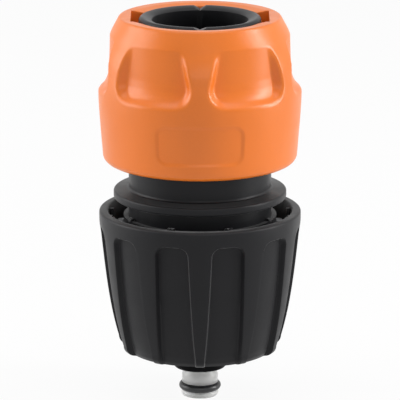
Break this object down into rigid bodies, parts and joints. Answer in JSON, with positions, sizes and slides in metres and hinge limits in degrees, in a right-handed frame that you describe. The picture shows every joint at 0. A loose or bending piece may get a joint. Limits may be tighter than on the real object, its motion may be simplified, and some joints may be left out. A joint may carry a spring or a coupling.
{
  "type": "garden hose quick connector",
  "caption": "Female garden hose quick connector with clamping nut, fluted release sleeve, claws and automatic water stop valve.",
  "frame": {"origin": "centre of the mouth that takes the tap adapter, at the sleeve's lower edge", "axes": "+Z along the connector's axis towards the hose, -Y is the front that the picture shows"},
  "size_m": [0.0401, 0.04, 0.0776],
  "materials": {
    "orange_plastic": "satin, fine moulded grain",
    "grey_plastic": "satin moulded",
    "black_plastic": "matt moulded grain",
    "glossy_black": "smooth and glossy",
    "light_plastic": "natural, slightly translucent",
    "rubber": "smooth rubber",
    "steel": "drawn stainless wire"
  },
  "bodies": {
    "body": {"stem": "grey_plastic", "body_oring": "rubber", "socket_body": "black_plastic", "retaining_ring": "grey_plastic", "spring_washer": "steel", "spring_holder": "light_plastic", "valve_guide": "glossy_black", "guide_oring": "rubber", "valve_spring": "steel", "sleeve_spring": "steel"},
    "sleeve": {"sleeve": "black_plastic"},
    "valve": {"valve_stem": "light_plastic", "valve_seal": "rubber", "nose_oring": "rubber"},
    "grip_ring": {"collet": "grey_plastic"},
    "nut": {"hose_nut": "orange_plastic"},
    "claw_right": {"claw_right": "grey_plastic"},
    "claw_back": {"claw_back": "grey_plastic"},
    "claw_left": {"claw_left": "grey_plastic"},
    "claw_front": {"claw_front": "grey_plastic"}
  },
  "joints": [
    {"name": "sleeve_slide", "type": "slide", "parent": "body", "child": "sleeve", "axis": [0, 0, 1], "range_m": [0, 0.0045], "stiffness_N_per_m": 400, "springref_m": -0.006, "deforming": ["sleeve_spring"]},
    {"name": "claw_right_pivot", "type": "hinge", "parent": "body", "child": "claw_right", "pos_m": [0.0109, 0, 0.017], "axis": [0, -1, 0], "range_deg": [0, 5.01]},
    {"name": "claw_back_pivot", "type": "hinge", "parent": "body", "child": "claw_back", "pos_m": [0, 0.0109, 0.017], "axis": [1, 0, 0], "range_deg": [0, 5.01]},
    {"name": "claw_left_pivot", "type": "hinge", "parent": "body", "child": "claw_left", "pos_m": [-0.0109, 0, 0.017], "axis": [0, 1, 0], "range_deg": [0, 5.01]},
    {"name": "claw_front_pivot", "type": "hinge", "parent": "body", "child": "claw_front", "pos_m": [0, -0.0109, 0.017], "axis": [-1, 0, 0], "range_deg": [0, 5.01]},
    {"name": "valve_slide", "type": "slide", "parent": "body", "child": "valve", "axis": [0, 0, 1], "range_m": [0, 0.003], "stiffness_N_per_m": 200, "springref_m": -0.006, "deforming": ["valve_spring"]},
    {"name": "collet_slide", "type": "slide", "parent": "body", "child": "grip_ring", "axis": [0, 0, 1], "range_m": [0, 0.00601]},
    {"name": "nut_turn", "type": "hinge", "parent": "grip_ring", "child": "nut", "pos_m": [0, 0, 0.05], "axis": [0, 0, 1], "range_deg": [0, 720]}
  ],
  "couplings": [
    {"joint": "claw_right_pivot", "follows": "sleeve_slide", "rad_per_m": 19.393},
    {"joint": "claw_back_pivot", "follows": "sleeve_slide", "rad_per_m": 19.393},
    {"joint": "claw_left_pivot", "follows": "sleeve_slide", "rad_per_m": 19.393},
    {"joint": "claw_front_pivot", "follows": "sleeve_slide", "rad_per_m": 19.393},
    {"joint": "collet_slide", "follows": "nut_turn", "m_per_rad": 0.00047746}
  ]
}
